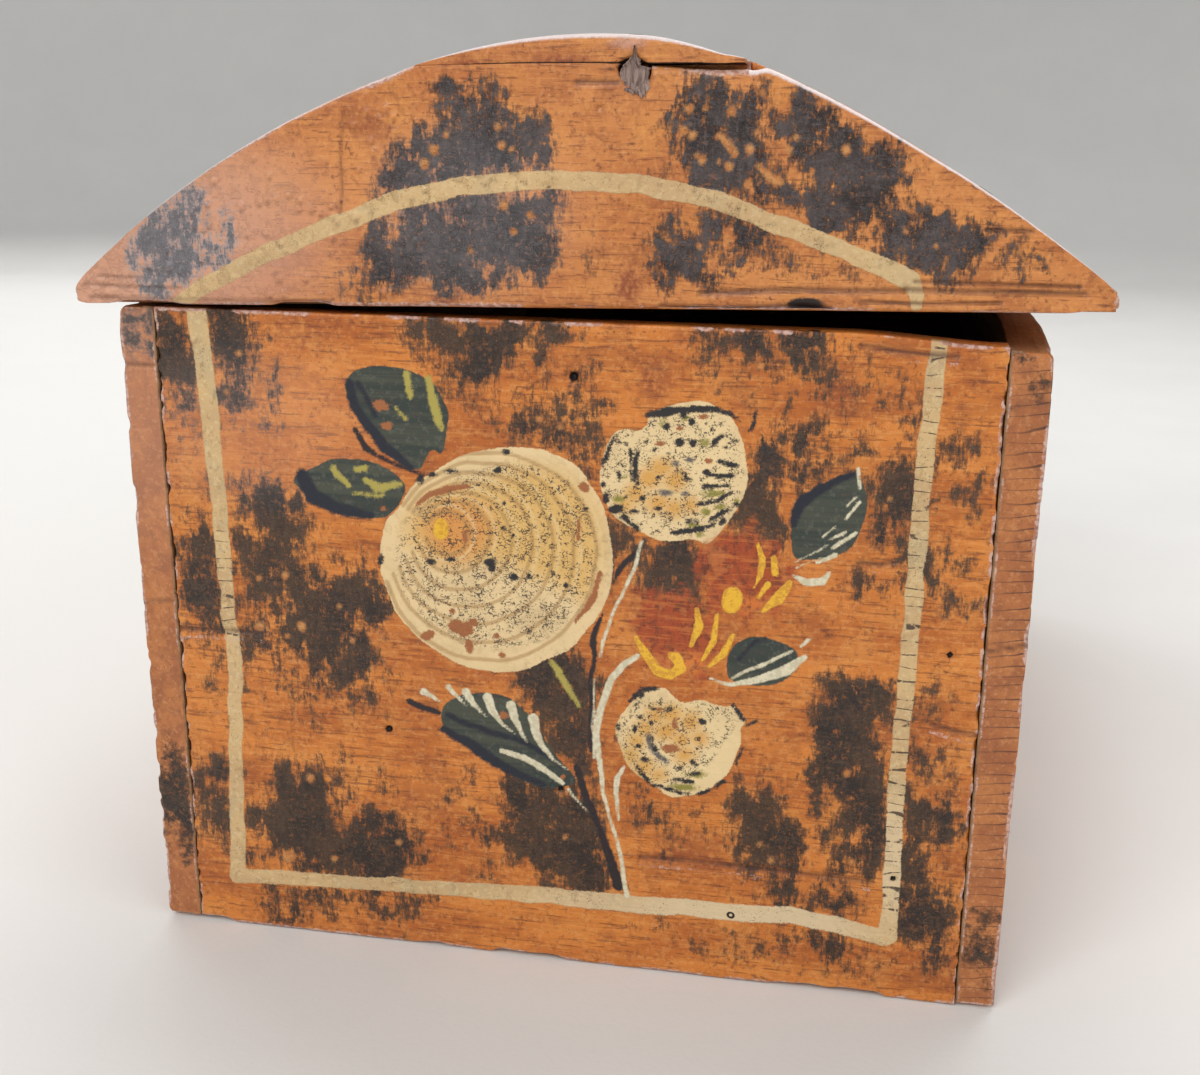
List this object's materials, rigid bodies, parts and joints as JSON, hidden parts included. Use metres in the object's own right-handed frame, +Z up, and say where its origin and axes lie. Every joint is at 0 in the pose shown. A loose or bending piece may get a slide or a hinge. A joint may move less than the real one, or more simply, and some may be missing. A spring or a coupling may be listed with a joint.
{
  "type": "keepsake box",
  "caption": "Antique painted softwood box of nailed boards with a dome-shaped lid of sloping boards between arched ends, turning on iron hinges at the back.",
  "frame": {"origin": "middle of the underside of the case", "axes": "+Z up, +Y along the box from the near end to the far end, +X from the hinged back to the front"},
  "size_m": [0.2308, 0.334, 0.2165],
  "materials": {
    "painted_end": "satin",
    "painted_side": "satin",
    "bare_wood": "matte",
    "iron": "matte"
  },
  "bodies": {
    "case": {"end_board_near": "painted_end", "end_board_far": "painted_end", "front_board": "painted_side", "back_board": "painted_side", "bottom_board": "bare_wood", "cleat_near": "bare_wood", "cleat_far": "bare_wood", "front_nails": "iron", "back_nails": "iron", "end_nails": "iron", "case_leaf_near": "iron", "case_leaf_far": "iron", "hinge_pin_near": "iron", "hinge_pin_far": "iron", "case_screws": "iron"},
    "lid": {"lid_end_near": "painted_end", "lid_end_far": "painted_end", "crest_sliver": "painted_end", "sliver_nail": "iron", "crest_board": "painted_side", "front_slope": "painted_side", "back_slope": "painted_side", "front_rail": "painted_side", "back_rail": "painted_side", "crest_nails": "iron", "slope_nails": "iron", "lid_leaf_near": "iron", "lid_leaf_far": "iron", "lid_screws": "iron"}
  },
  "joints": [
    {"name": "lid_hinge", "type": "hinge", "parent": "case", "child": "lid", "pos_m": [-0.1082, 0, 0.1546], "axis": [0, -1, 0], "range_deg": [-1.4, 110]}
  ]
}
